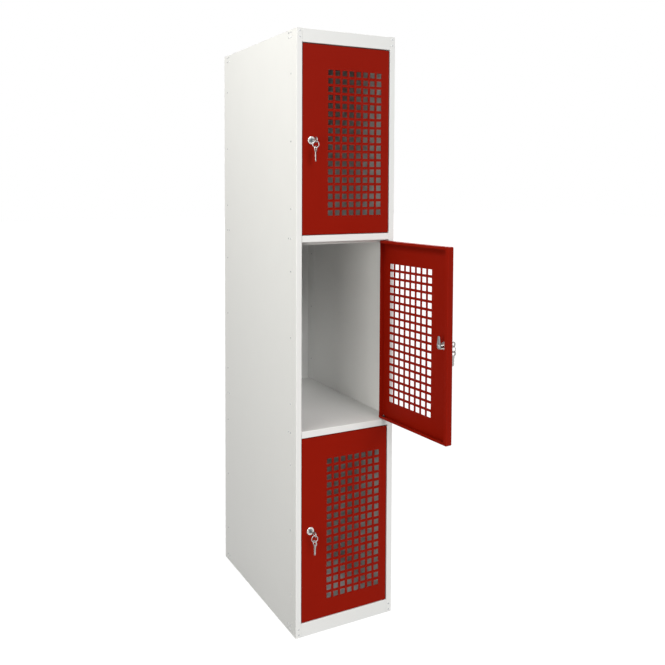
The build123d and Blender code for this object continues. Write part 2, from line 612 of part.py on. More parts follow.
def key_blank():
    """Key in the plane X = 0, with the middle of its bow at the origin and its blade along +Z."""
    reach = KEY_LENGTH - BOW_RADIUS
    half = KEY_WIDTH / 2
    blade = Polygon((-half, 0), (half, 0), (half, reach - half), (half / 2, reach), (-half / 2, reach),
                    (-half, reach - half), align=None)
    neck = reach - BLADE_LENGTH - SHOULDER
    outline = Circle(BOW_RADIUS) + blade + Pos(0, neck / 2) * Rectangle(SHOULDER_WIDTH, neck)
    outline -= Circle(BOW_HOLE_RADIUS)
    notch = Rot(0, 0, 45) * Rectangle(NOTCH_DEPTH * sqrt(2), NOTCH_DEPTH * sqrt(2))
    for index, share in enumerate(NOTCHES):
        side = 1 if index % 2 else -1
        outline -= Pos(side * half, reach - BLADE_LENGTH * (1 - share)) * notch
    key = extrude(Plane.YZ * outline, amount=KEY_THICKNESS / 2, both=True)
    rims = [edge for edge in key.edges().filter_by(GeomType.CIRCLE) if edge.radius < BOW_RADIUS]
    return chamfer(rims, BOW_ROUND)


def inserted_key():
    """Key in the plug, its bow standing upright."""
    return Pos(0, 0, BOW_CENTRE) * key_blank()


def key_ring(tier):
    """Ring hanging on the lower rim of the bow."""
    return Pos(0, RING_DROP, BOW_CENTRE) * Rot(0, RING_YAW[tier], 0) * Torus(RING_RADIUS, RING_WIRE)


def spare_key(tier):
    """Second key hanging on the bottom of the ring, blade down."""
    hanging = Rot(-90, 0, 0) * key_blank()
    return Pos(0, SPARE_BOW_DROP, BOW_CENTRE) * Rot(0, RING_YAW[tier] + SPARE_YAW[tier], 0) * hanging


# ---------------------------------------------------------------- assembly

def on_door(tier, shape):
    """Bring a lock piece from its own axis to a closed door; its Y axis points down there."""
    return Pos(LOCK_X, DOOR_FRONT, FLOOR[tier] + LOCK_RISE) * Rot(-90, 0, 0) * shape


def swung(tier, shape):
    """Turn a piece of a door about its pivot to the angle at rest."""
    return Pos(PIVOT_X, PIVOT_Y, 0) * Rot(0, 0, REST_ANGLE[tier]) * Pos(-PIVOT_X, -PIVOT_Y, 0) * shape


def tier_nodes(tier):
    """All nodes of one door."""
    pieces = {
        "door": [door_pan(tier)],
        "hinge_bushes": hinge_bushes(tier),
        "lock_housing": [on_door(tier, lock_housing())],
        "lock_washer": [on_door(tier, lock_washer())],
        "lock_nut": [on_door(tier, lock_nut())],
        "lock_plug": [on_door(tier, lock_plug())],
        "lock_cam": [on_door(tier, lock_cam())],
        "cam_screw": [on_door(tier, cam_screw())],
        "key": [on_door(tier, inserted_key())],
        "key_ring": [on_door(tier, key_ring(tier))],
        "spare_key": [on_door(tier, spare_key(tier))],
    }
    return {f"{tier}_{name}": [swung(tier, solid) for solid in solids] for name, solids in pieces.items()}


def all_nodes():
    """Every node of the locker with its solids."""
    nodes = {
        "left_side_panel": [side_panel(-1)],
        "right_side_panel": [side_panel(1)],
        "back_panel": [back_panel()],
        "roof_panel": [roof_panel()],
        "floor_tray": [floor_tray()],
        "upper_shelf": [shelf("upper")],
        "lower_shelf": [shelf("middle")],
        "left_front_post": [front_post(-1)],
        "right_front_post": [front_post(1)],
        "left_seam_strip": [seam_strip(-1)],
        "right_seam_strip": [seam_strip(1)],
        "top_rail": [top_rail()],
        "plinth_rail": [plinth_rail()],
        "hinge_pins": hinge_pins(),
        "door_buffers": door_buffers(),
        "left_side_rivets": side_rivet_set(-1),
        "right_side_rivets": side_rivet_set(1),
        "front_rivets": face_rivet_set(),
        "back_rivets": back_rivet_set(),
    }
    for tier in TIERS:
        nodes.update(tier_nodes(tier))
    return nodes


os.makedirs("parts", exist_ok=True)
for node, solids in all_nodes().items():
    shape = solids[0] if len(solids) == 1 else Compound(children=solids)
    export_step(shape, f"parts/{node}.step")
    print(node, round(shape.volume), "mm3")
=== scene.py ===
import json
from math import cos, pi, radians, sin

import bmesh
import bpy
from bpy.props import FloatProperty, FloatVectorProperty, IntProperty, PointerProperty
from mathutils import Matrix, Vector


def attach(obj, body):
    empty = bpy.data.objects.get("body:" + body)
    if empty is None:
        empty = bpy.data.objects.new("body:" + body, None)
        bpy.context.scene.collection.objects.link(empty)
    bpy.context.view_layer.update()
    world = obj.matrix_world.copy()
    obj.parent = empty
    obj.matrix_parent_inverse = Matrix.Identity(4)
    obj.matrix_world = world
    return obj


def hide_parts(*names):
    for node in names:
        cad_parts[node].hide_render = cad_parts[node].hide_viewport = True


bl_info = {
    "name": "Bicycle locker",
    "version": (1, 0, 0),
    "blender": (4, 5, 0),
    "location": "3D View > Sidebar > Locker",
    "description": "Finishes the sheet-steel locker for folding bicycles and builds its rivets, locks and keys",
    "category": "Object",
}

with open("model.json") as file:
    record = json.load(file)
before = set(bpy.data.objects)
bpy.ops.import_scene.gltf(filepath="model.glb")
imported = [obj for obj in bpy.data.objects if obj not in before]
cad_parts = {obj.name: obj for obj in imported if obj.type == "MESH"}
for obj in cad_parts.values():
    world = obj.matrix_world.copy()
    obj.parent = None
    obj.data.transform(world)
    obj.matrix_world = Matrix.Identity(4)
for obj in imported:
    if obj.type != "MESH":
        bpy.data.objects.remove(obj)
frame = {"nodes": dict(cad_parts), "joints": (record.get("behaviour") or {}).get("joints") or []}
NODES = frame["nodes"]
JOINTS = {joint["name"]: joint for joint in frame["joints"]}
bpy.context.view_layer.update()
TIERS = ("lower", "middle", "upper")
SHELL_NODES = ("left_side_panel", "right_side_panel", "back_panel", "roof_panel", "floor_tray", "upper_shelf",
               "lower_shelf", "left_front_post", "right_front_post", "left_seam_strip", "right_seam_strip", "top_rail",
               "plinth_rail")

MM = 0.001
CAD_WELD = 1e-6         # corners of a CAD mesh that are this near to each other are one
WELD = 1e-7             # the same for a mesh that is built here
FLAT_ANGLE = radians(1.0)
EDGE_ANGLE = radians(32)
NUT_EDGE_ANGLE = radians(50)
CLOUDS = 11.0           # noise features in a metre
SPECKS = 420.0
GRAINS = 1500.0
SCRATCHES = 260.0
FLOOR_CLOUDS = 3.0
PLUG_GAP = 0.05 * MM
THREAD_GAP = 0.05 * MM
COLLAR_FACETS = 64
SHANK_FACETS = 48
NUT_FACETS = 6
RING_TURNS = 2
RING_STEPS = 120
RING_FACETS = 12
SENSOR_WIDTH = 36.0     # in millimetres
CLIP_END = 200.0


# ---------------------------------------------------------------- sizes and colours

def length(name, description, default):
    return FloatProperty(name=name, description=description, default=default, min=0.0, unit="LENGTH",
                         subtype="DISTANCE", precision=5)


def share(name, description, default):
    return FloatProperty(name=name, description=description, default=default, min=0.0, max=1.0, subtype="FACTOR")


def strength(name, description, default, **settings):
    return FloatProperty(name=name, description=description, default=default, min=0.0, **settings)


def paint(name, description, default):
    return FloatVectorProperty(name=name, description=description, default=default, size=3, min=0.0, max=1.0,
                               subtype="COLOR")


def position(name, description, default):
    return FloatVectorProperty(name=name, description=description, default=default, size=3,
                               subtype="TRANSLATION", unit="LENGTH")


class LockerFinish(bpy.types.PropertyGroup):
    body_colour: paint("Body", "Powder coat of the cabinet", (0.80, 0.803, 0.788))
    door_colour: paint("Doors", "Powder coat of the doors", (0.262, 0.0075, 0.0016))
    body_roughness: share("Body roughness", "Roughness of the cabinet's coat", 0.42)
    door_roughness: share("Door roughness", "Roughness of the doors' coat", 0.44)
    peel_size: length("Peel size", "Width of one dimple of the powder coat", 1.6 * MM)
    peel_depth: length("Peel depth", "Depth of the powder coat's dimples", 0.006 * MM)
    buckle_size: length("Buckle size", "Width of one slight buckle in a sheet", 0.16)
    buckle_depth: length("Buckle depth", "Depth of the buckles in a sheet", 0.10 * MM)
    nickel_colour: paint("Nickel", "Lock bodies", (0.66, 0.65, 0.63))
    plug_colour: paint("Plug", "Faces of the lock plugs", (0.21, 0.23, 0.25))
    key_colour: paint("Keys", "Nickel-plated keys", (0.38, 0.372, 0.36))
    zinc_colour: paint("Zinc", "Nuts, washers, cams and pins", (0.47, 0.49, 0.50))
    rivet_colour: paint("Rivets", "Plain aluminium rivets", (0.46, 0.47, 0.48))
    nylon_colour: paint("Nylon", "Hinge bushes", (0.028, 0.028, 0.030))
    rubber_colour: paint("Rubber", "Door buffers", (0.020, 0.020, 0.021))


class LockerRivets(bpy.types.PropertyGroup):
    head_radius: length("Head radius", "Radius of a rivet's domed head", 3.0 * MM)
    head_height: length("Head height", "Height of a rivet's domed head", 1.1 * MM)
    shank_radius: length("Shank radius", "Radius of a rivet in the sheets", 1.6 * MM)
    bulb_radius: length("Bulb radius", "Radius of the set end behind the sheets", 2.3 * MM)
    bulb_height: length("Bulb height", "Length of the set end behind the sheets", 1.3 * MM)
    mandrel_radius: length("Mandrel radius", "Radius of the broken pin inside the head", 0.75 * MM)
    facets: IntProperty(name="Facets", description="Facets round a rivet", default=20, min=8)


class LockerLocks(bpy.types.PropertyGroup):
    door_sheet: length("Door sheet", "Thickness of the door", 1.0 * MM)
    collar_radius: length("Collar radius", "Radius of the collar on the door", 13.0 * MM)
    collar_height: length("Collar height", "Height of the collar above the door", 3.6 * MM)
    plug_radius: length("Plug radius", "Radius of the turning plug", 7.2 * MM)
    body_radius: length("Body radius", "Outer radius of the threaded body", 9.2 * MM)
    body_flats: length("Body flats", "Width of the threaded body over its flats", 16.0 * MM)
    body_length: length("Body length", "Length of the threaded body behind the door's face", 26.1 * MM)
    thread_pitch: length("Thread pitch", "Pitch of the body's thread", 1.5 * MM)
    thread_depth: length("Thread depth", "Depth of the body's thread", 0.75 * MM)
    washer_height: length("Washer height", "Thickness of the serrated washer", 1.0 * MM)
    nut_flats: length("Nut flats", "Width of the nut over its flats", 23.0 * MM)
    nut_height: length("Nut height", "Thickness of the nut", 4.5 * MM)
    ring_radius: length("Ring radius", "Middle radius of a key ring", 10.5 * MM)
    ring_wire: length("Ring wire", "Half the thickness of a key ring", 1.0 * MM)
    round_edge: length("Round edge", "Rounding of stamped and cast edges", 0.22 * MM)


class LockerStage(bpy.types.PropertyGroup):
    floor_size: length("Floor size", "Side of the floor", 60.0)
    floor_drop: length("Floor drop", "Floor below the cabinet", 0.3 * MM)
    floor_tone: share("Floor tone", "Grey of the floor, which keeps the shadow", 0.18)
    floor_glow: share("Floor glow", "Light that the floor adds where it is seen", 0.86)
    world_light: strength("World light", "Strength of the even light", 0.36)
    warm: paint("Warm lamp", "Colour of the lamps on the left", (1.0, 0.985, 0.935))
    top_power: strength("Top lamp", "Power of the soft lamp at the left, near the top", 26.0, unit="POWER")
    top_place: position("Top lamp's place", "Where the top lamp hangs", (-1.7, -0.3, 2.9))
    top_aim: position("Top lamp's aim", "Where the top lamp points", (-0.1, 0.0, 1.4))
    top_size: length("Top lamp's size", "Side of the top lamp", 1.0)
    corner_power: strength("Corner lamp", "Power of the soft lamp before the left front edge", 26.5, unit="POWER")
    corner_place: position("Corner lamp's place", "Where the corner lamp stands", (-2.3, -1.7, 1.3))
    corner_aim: position("Corner lamp's aim", "Where the corner lamp points", (0.0, -0.2, 1.1))
    corner_size: length("Corner lamp's size", "Side of the corner lamp", 1.2)
    front_light: strength("Front light", "Strength of the even light on the doors", 1.8)
    front_place: position("Front light's side", "Direction that the front light comes from", (0.6, -6.0, 3.5))
    rear_light: strength("Rear light", "Strength of the even light on the back and the right", 1.5)
    rear_place: position("Rear light's side", "Direction that the rear light comes from", (4.5, 5.0, 3.5))
    even_spread: FloatProperty(name="Spread", description="Angle over which the even lights spread",
                               default=radians(34), subtype="ANGLE")
    lens: FloatProperty(name="Lens", description="Focal length of the camera in millimetres", default=39.83, min=1.0)
    turn: FloatProperty(name="Turn", description="Direction of the view, from the back axis to the right",
                        default=0.44706, subtype="ANGLE")
    tilt: FloatProperty(name="Tilt", description="Tilt of the view below the horizon", default=0.04363,
                        subtype="ANGLE")
    eye: position("Eye", "Place of the camera", (-1.2848, -2.3723, 1.4769))
    shift: FloatVectorProperty(name="Shift", description="Shift of the camera's frame", size=2,
                               default=(0.0983, -0.1708))


# ---------------------------------------------------------------- material tools

def new_group(name, inputs, outputs):
    """An empty shader node group with named sockets; returns its tree and its two end nodes."""
    tree = bpy.data.node_groups.new(name, "ShaderNodeTree")
    for label, kind, default in inputs:
        socket = tree.interface.new_socket(label, in_out="INPUT", socket_type=kind)
        if default is not None:
            socket.default_value = default
    for label, kind in outputs:
        tree.interface.new_socket(label, in_out="OUTPUT", socket_type=kind)
    return tree, tree.nodes.new("NodeGroupInput"), tree.nodes.new("NodeGroupOutput")


def add(tree, kind, settings=None, **inputs):
    """A node with its settings; an input is a value or a socket to link from."""
    node = tree.nodes.new(kind)
    for key, value in (settings or {}).items():
        setattr(node, key, value)
    for key, value in inputs.items():
        target = node.inputs[int(key[1:])] if key[0] == "_" else node.inputs[key.replace("_", " ")]
        if isinstance(value, bpy.types.NodeSocket):
            tree.links.new(value, target)
        else:
            target.default_value = value
    return node


def maths(tree, operation, *values, clamp=False):
    """One Math node and its result."""
    inputs = {f"_{index}": value for index, value in enumerate(values)}
    return add(tree, "ShaderNodeMath", {"operation": operation, "use_clamp": clamp}, **inputs).outputs[0]


def coat_group():
    """Powder coat: dimples, slight buckles of the sheet, and a drift of shade and of gloss."""
    tree, start, end = new_group(
        "Powder coat",
        (("Colour", "NodeSocketColor", None), ("Roughness", "NodeSocketFloat", 0.4), ("Drift", "NodeSocketFloat", 0.03),
         ("Peel Size", "NodeSocketFloat", 1.6 * MM), ("Peel Depth", "NodeSocketFloat", 0.006 * MM),
         ("Buckle Size", "NodeSocketFloat", 0.16), ("Buckle Depth", "NodeSocketFloat", 0.1 * MM)),
        (("Colour", "NodeSocketColor"), ("Roughness", "NodeSocketFloat"), ("Normal", "NodeSocketVector")))
    spot = add(tree, "ShaderNodeTexCoord").outputs["Object"]
    peel_scale = maths(tree, "DIVIDE", 1.0, start.outputs["Peel Size"])
    buckle_scale = maths(tree, "DIVIDE", 1.0, start.outputs["Buckle Size"])
    peel = add(tree, "ShaderNodeTexNoise", None, Vector=spot, Scale=peel_scale, Detail=2.0, Roughness=0.45)
    buckle = add(tree, "ShaderNodeTexNoise", None, Vector=spot, Scale=buckle_scale, Detail=1.0, Roughness=0.3)
    cloud = add(tree, "ShaderNodeTexNoise", None, Vector=spot, Scale=CLOUDS, Detail=3.0, Roughness=0.55)
    speck = add(tree, "ShaderNodeTexNoise", None, Vector=spot, Scale=SPECKS, Detail=2.0, Roughness=0.6)
    lift = maths(tree, "SUBTRACT", cloud.outputs["Fac"], 0.5)
    grit = maths(tree, "SUBTRACT", speck.outputs["Fac"], 0.5)
    both = maths(tree, "MULTIPLY_ADD", grit, 0.6, lift)
    shade = maths(tree, "MULTIPLY_ADD", both, start.outputs["Drift"], 1.0)
    tint = add(tree, "ShaderNodeVectorMath", {"operation": "SCALE"}, _0=start.outputs["Colour"], Scale=shade)
    tree.links.new(tint.outputs["Vector"], end.inputs["Colour"])
    gloss = maths(tree, "MULTIPLY_ADD", lift, 0.14, start.outputs["Roughness"])
    tree.links.new(maths(tree, "MULTIPLY_ADD", grit, 0.10, gloss, clamp=True), end.inputs["Roughness"])
    wide = add(tree, "ShaderNodeBump", None, Strength=1.0, Distance=start.outputs["Buckle Depth"],
               Height=buckle.outputs["Fac"])
    fine = add(tree, "ShaderNodeBump", None, Strength=1.0, Distance=start.outputs["Peel Depth"],
               Height=peel.outputs["Fac"], Normal=wide.outputs["Normal"])
    tree.links.new(fine.outputs["Normal"], end.inputs["Normal"])
    return tree


def metal_group():
    """Plated or plain metal: grain along one direction, faint mottling and small scratches."""
    tree, start, end = new_group(
        "Metal grain",
        (("Colour", "NodeSocketColor", None), ("Roughness", "NodeSocketFloat", 0.25),
         ("Mottle", "NodeSocketFloat", 0.08), ("Mottle Size", "NodeSocketFloat", 4.0 * MM),
         ("Grain Depth", "NodeSocketFloat", 0.004 * MM), ("Grain Direction", "NodeSocketVector", (1.0, 1.0, 1.0))),
        (("Colour", "NodeSocketColor"), ("Roughness", "NodeSocketFloat"), ("Normal", "NodeSocketVector")))
    spot = add(tree, "ShaderNodeTexCoord").outputs["Object"]
    mottle_scale = maths(tree, "DIVIDE", 1.0, start.outputs["Mottle Size"])
    mottle = add(tree, "ShaderNodeTexVoronoi", {"feature": "SMOOTH_F1"}, Vector=spot, Scale=mottle_scale)
    stretched = add(tree, "ShaderNodeVectorMath", {"operation": "MULTIPLY"}, _0=spot,
                    _1=start.outputs["Grain Direction"])
    grain = add(tree, "ShaderNodeTexNoise", None, Vector=stretched.outputs["Vector"], Scale=GRAINS, Detail=3.0,
                Roughness=0.6)
    scratch = add(tree, "ShaderNodeTexNoise", None, Vector=stretched.outputs["Vector"], Scale=SCRATCHES, Detail=2.0,
                  Distortion=0.8)
    spread = maths(tree, "SUBTRACT", mottle.outputs["Distance"], 0.4)
    streak = maths(tree, "SUBTRACT", grain.outputs["Fac"], 0.5)
    both = maths(tree, "MULTIPLY_ADD", streak, 0.5, spread)
    shade = maths(tree, "MULTIPLY_ADD", both, start.outputs["Mottle"], 1.0)
    tint = add(tree, "ShaderNodeVectorMath", {"operation": "SCALE"}, _0=start.outputs["Colour"], Scale=shade)
    tree.links.new(tint.outputs["Vector"], end.inputs["Colour"])
    dull = maths(tree, "MULTIPLY_ADD", streak, 0.22, start.outputs["Roughness"])
    tree.links.new(maths(tree, "MULTIPLY_ADD", spread, 0.10, dull, clamp=True), end.inputs["Roughness"])
    coarse = add(tree, "ShaderNodeBump", None, Strength=0.5, Distance=start.outputs["Grain Depth"],
                 Height=scratch.outputs["Fac"])
    fine = add(tree, "ShaderNodeBump", None, Strength=1.0, Distance=start.outputs["Grain Depth"],
               Height=grain.outputs["Fac"], Normal=coarse.outputs["Normal"])
    tree.links.new(fine.outputs["Normal"], end.inputs["Normal"])
    return tree


def group_named(name, build):
    """A shared node group, built the first time that it is asked for."""
    return bpy.data.node_groups.get(name) or build()


def material(name, group, colour, metallic=0.0, specular=0.5, **values):
    """A Principled material whose colour, roughness and normal come from a shared group."""
    made = bpy.data.materials.new(name)
    made.use_nodes = True
    made.diffuse_color = (*colour, 1.0)
    tree = made.node_tree
    shader = tree.nodes["Principled BSDF"]
    surface = tree.nodes.new("ShaderNodeGroup")
    surface.node_tree = group
    surface.inputs["Colour"].default_value = (*colour, 1.0)
    for key, value in values.items():
        surface.inputs[key.replace("_", " ")].default_value = value
    tree.links.new(surface.outputs["Colour"], shader.inputs["Base Color"])
    tree.links.new(surface.outputs["Roughness"], shader.inputs["Roughness"])
    tree.links.new(surface.outputs["Normal"], shader.inputs["Normal"])
    shader.inputs["Metallic"].default_value = metallic
    shader.inputs["Specular IOR Level"].default_value = specular
    return made


def body_paint():
    sizes = bpy.context.scene.locker_finish
    return bpy.data.materials.get("White powder coat") or material(
        "White powder coat", group_named("Powder coat", coat_group), sizes.body_colour, specular=0.3,
        Roughness=sizes.body_roughness, Drift=0.035, Peel_Size=sizes.peel_size, Peel_Depth=sizes.peel_depth,
        Buckle_Size=sizes.buckle_size, Buckle_Depth=sizes.buckle_depth)


def door_paint():
    sizes = bpy.context.scene.locker_finish
    return bpy.data.materials.get("Red powder coat") or material(
        "Red powder coat", group_named("Powder coat", coat_group), sizes.door_colour, specular=0.05,
        Roughness=sizes.door_roughness, Drift=0.10, Peel_Size=sizes.peel_size, Peel_Depth=sizes.peel_depth,
        Buckle_Size=sizes.buckle_size, Buckle_Depth=0.5 * sizes.buckle_depth)


def plastic(name, colour, roughness):
    return bpy.data.materials.get(name) or material(
        name, group_named("Powder coat", coat_group), colour, Roughness=roughness, Drift=0.25,
        Peel_Size=0.5 * MM, Peel_Depth=0.012 * MM, Buckle_Size=3.0 * MM, Buckle_Depth=0.02 * MM)


def metal(name, colour, roughness, mottle=0.12, mottle_size=4.0 * MM, grain=0.004 * MM, along=(1.0, 1.0, 1.0)):
    return bpy.data.materials.get(name) or material(
        name, group_named("Metal grain", metal_group), colour, metallic=1.0, Roughness=roughness, Mottle=mottle,
        Mottle_Size=mottle_size, Grain_Depth=grain, Grain_Direction=along)


# ---------------------------------------------------------------- mesh tools

def dress(node, finish):
    """Give a carried-over CAD node its material."""
    slots = NODES[node].data.materials
    slots.clear()
    slots.append(finish)


def lathe(profile, steps):
    """Turn a profile of radius and height about Z into a closed solid."""
    mesh = bmesh.new()
    points = [mesh.verts.new((radius, 0.0, height)) for radius, height in profile]
    edges = [mesh.edges.new(pair) for pair in zip(points, points[1:])]
    bmesh.ops.spin(mesh, geom=points + edges, cent=(0, 0, 0), axis=(0, 0, 1), angle=2 * pi, steps=steps,
                   use_merge=True, use_duplicate=False)
    bmesh.ops.remove_doubles(mesh, verts=mesh.verts, dist=WELD)
    bmesh.ops.recalc_face_normals(mesh, faces=mesh.faces)
    return mesh


def merged(parts):
    """Join pairs of a mesh and its place into one mesh."""
    whole = bmesh.new()
    for mesh, place in parts:
        copy = bpy.data.meshes.new("part")
        mesh.to_mesh(copy)
        copy.transform(place)
        whole.from_mesh(copy)
        bpy.data.meshes.remove(copy)
    return whole


def finished(name, mesh, finish, body, stands_for, sharp=35.0):
    """Turn a mesh into a piece that rides on a body and stands for a CAD node."""
    data = bpy.data.meshes.new(name)
    mesh.to_mesh(data)
    mesh.free()
    data.materials.append(finish)
    data.shade_smooth()
    data.set_sharp_from_angle(angle=radians(sharp))
    piece = bpy.data.objects.new(name, data)
    bpy.context.scene.collection.objects.link(piece)
    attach(piece, body)
    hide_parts(stands_for)
    return piece


def shells(node):
    """Lowest and highest corner of each separate solid of a CAD node, in a fixed order."""
    mesh = bmesh.new()
    mesh.from_mesh(NODES[node].data)
    bmesh.ops.remove_doubles(mesh, verts=mesh.verts, dist=CAD_WELD)
    seen = set()
    boxes = []
    for seed in mesh.verts:
        if seed.index in seen:
            continue
        seen.add(seed.index)
        front, found = [seed], [seed.co]
        while front:
            for edge in front.pop().link_edges:
                for other in edge.verts:
                    if other.index not in seen:
                        seen.add(other.index)
                        front.append(other)
                        found.append(other.co)
        low = Vector([min(point[axis] for point in found) for axis in range(3)])
        high = Vector([max(point[axis] for point in found) for axis in range(3)])
        boxes.append((low, high))
    mesh.free()
    return boxes


def rounded_copy(node, width, segments=2):
    """A merged copy of a CAD node with its sharp edges rounded."""
    mesh = bmesh.new()
    mesh.from_mesh(NODES[node].data)
    bmesh.ops.remove_doubles(mesh, verts=mesh.verts, dist=CAD_WELD)
    bmesh.ops.dissolve_limit(mesh, angle_limit=FLAT_ANGLE, verts=mesh.verts, edges=mesh.edges)
    sharp = [edge for edge in mesh.edges if edge.is_manifold and edge.calc_face_angle() > EDGE_ANGLE]
    bmesh.ops.bevel(mesh, geom=sharp, offset=width, offset_type="OFFSET", segments=segments, profile=0.5,
                    affect="EDGES", material=-1, clamp_overlap=True)
    return mesh


def lock_place(tier):
    """Matrix of a lock: X to the right as seen from outside, Y up, Z outwards, origin on the door's face."""
    joint = JOINTS[f"{tier}_lock_turn"]
    out = Vector(joint["axis"]).normalized()
    up = Vector((0, 0, 1))
    place = Matrix((up.cross(out), up, out)).transposed().to_4x4()
    place.translation = Vector(joint["pos_m"])
    return place


# ---------------------------------------------------------------- operators

class LOCKER_OT_cabinet(bpy.types.Operator):
    """Coat the folded sheets of the cabinet"""
    bl_idname = "locker.cabinet"
    bl_label = "Cabinet"

    def execute(self, context):
        for node in SHELL_NODES:
            dress(node, body_paint())
        return {"FINISHED"}


class LOCKER_OT_doors(bpy.types.Operator):
    """Coat the three perforated doors"""
    bl_idname = "locker.doors"
    bl_label = "Doors"

    def execute(self, context):
        for tier in TIERS:
            dress(f"{tier}_door", door_paint())
        return {"FINISHED"}


class LOCKER_OT_hinges(bpy.types.Operator):
    """Finish the pivot pins, their nylon bushes and the rubber buffers"""
    bl_idname = "locker.hinges"
    bl_label = "Hinges and buffers"

    def execute(self, context):
        colours = context.scene.locker_finish
        dress("hinge_pins", metal("Zinc plate", colours.zinc_colour, 0.34))
        dress("door_buffers", plastic("Black rubber", colours.rubber_colour, 0.62))
        for tier in TIERS:
            dress(f"{tier}_hinge_bushes", plastic("Black nylon", colours.nylon_colour, 0.40))
        return {"FINISHED"}


def rivet_profile(sizes, grip):
    """Half section of a set blind rivet: the broken mandrel in its dome, the shank and the bulb."""
    dome, height = sizes.head_radius, sizes.head_height
    pin, shank, bulb, end = sizes.mandrel_radius, sizes.shank_radius, sizes.bulb_radius, sizes.bulb_height
    lip = pin + 0.15 * (dome - pin)
    mandrel = ((0.0, 0.45 * height), (pin, 0.45 * height), (pin, 0.92 * height), (lip, height))
    head = ((0.55 * dome, 0.93 * height), (0.78 * dome, 0.70 * height), (0.93 * dome, 0.38 * height),
            (dome, 0.10 * height), (dome, 0.0))
    set_end = ((shank, 0.0), (shank, -grip), (0.95 * bulb, -grip - 0.12 * end), (bulb, -grip - 0.5 * end),
               (0.8 * bulb, -grip - 0.85 * end), (0.45 * bulb, -grip - end), (0.0, -grip - end))
    return mandrel + head + set_end


class LOCKER_OT_rivets(bpy.types.Operator):
    """Build the blind rivets of the sides, the posts and the back"""
    bl_idname = "locker.rivets"
    bl_label = "Rivets"

    def execute(self, context):
        sizes = context.scene.locker_rivets
        finish = metal("Plain aluminium", context.scene.locker_finish.rivet_colour, 0.42, mottle=0.25,
                       mottle_size=1.2 * MM)
        for node, out in (("left_side_rivets", Vector((-1, 0, 0))), ("right_side_rivets", Vector((1, 0, 0))),
                          ("front_rivets", Vector((0, -1, 0))), ("back_rivets", Vector((0, 1, 0)))):
            turn = Vector((0, 0, 1)).rotation_difference(out).to_matrix().to_4x4()
            kinds = {}
            parts = []
            for low, high in shells(node):
                middle, reach = (low + high) / 2, abs((high - low).dot(out))
                grip = round((reach - sizes.head_height - sizes.bulb_height) / MM)
                if grip not in kinds:
                    kinds[grip] = lathe(rivet_profile(sizes, grip * MM), sizes.facets)
                seat = middle + out * (reach / 2 - sizes.head_height)
                parts.append((kinds[grip], Matrix.Translation(seat) @ turn))
            finished(f"{node}_set", merged(parts), finish, "cabinet", node, sharp=50.0)
            for mesh in kinds.values():
                mesh.free()
        return {"FINISHED"}


def lock_collar(sizes):
    """Round collar with a soft shoulder and a shallow groove round the plug."""
    bore = sizes.plug_radius + PLUG_GAP
    outer, top = sizes.collar_radius, sizes.collar_height
    groove, depth = bore + 0.9 * MM, 0.22 * MM
    mouth = ((bore, 0.0), (bore, top - 0.3 * MM), (bore + 0.25 * MM, top - 0.05 * MM))
    ditch = ((groove, top), (groove + 0.15 * MM, top - depth), (groove + 0.45 * MM, top - depth),
             (groove + 0.6 * MM, top))
    shoulder = ((outer - 1.5 * MM, top), (outer - 0.9 * MM, top - 0.15 * MM), (outer - 0.4 * MM, top - 0.5 * MM),
                (outer - 0.1 * MM, top - 1.0 * MM), (outer, top - 1.6 * MM))
    foot = ((outer, 0.15 * MM), (outer - 0.15 * MM, 0.0), (bore, 0.0))
    return lathe(mouth + ditch + shoulder + foot, COLLAR_FACETS)


def lock_shank(sizes):
    """Threaded body with two flats."""
    bore, crest = sizes.plug_radius + PLUG_GAP, sizes.body_radius
    root = crest - sizes.thread_depth
    end, pitch, chamfer = sizes.body_length, sizes.thread_pitch, 0.4 * MM
    profile = [(bore, 0.0), (root, 0.0)]
    level = 0.3 * pitch
    while level + pitch < end - 0.5 * pitch:
        profile += [(root, -level), (crest, -level - 0.35 * pitch), (crest, -level - 0.5 * pitch),
                    (root, -level - 0.85 * pitch)]
        level += pitch
    profile += [(root, -end + chamfer), (root - chamfer, -end), (bore, -end), (bore, 0.0)]
    mesh = lathe(profile, SHANK_FACETS)
    for side in (-1, 1):
        cut = bmesh.ops.bisect_plane(mesh, geom=mesh.verts[:] + mesh.edges[:] + mesh.faces[:],
                                     plane_co=(side * sizes.body_flats / 2, 0, 0), plane_no=(side, 0, 0),
                                     clear_outer=True, dist=WELD)
        edges = [item for item in cut["geom_cut"] if isinstance(item, bmesh.types.BMEdge)]
        bmesh.ops.contextual_create(mesh, geom=edges)
    bmesh.ops.recalc_face_normals(mesh, faces=mesh.faces)
    return mesh


class LOCKER_OT_lock_bodies(bpy.types.Operator):
    """Build the collar and the threaded body of each lock"""
    bl_idname = "locker.lock_bodies"
    bl_label = "Lock bodies"

    def execute(self, context):
        sizes = context.scene.locker_locks
        finish = metal("Bright nickel", context.scene.locker_finish.nickel_colour, 0.16, mottle=0.06)
        for tier in TIERS:
            place = lock_place(tier)
            collar, shank = lock_collar(sizes), lock_shank(sizes)
            finished(f"{tier}_lock_body", merged([(collar, place), (shank, place)]), finish, f"{tier}_door_leaf",
                     f"{tier}_lock_housing")
            collar.free()
            shank.free()
        return {"FINISHED"}


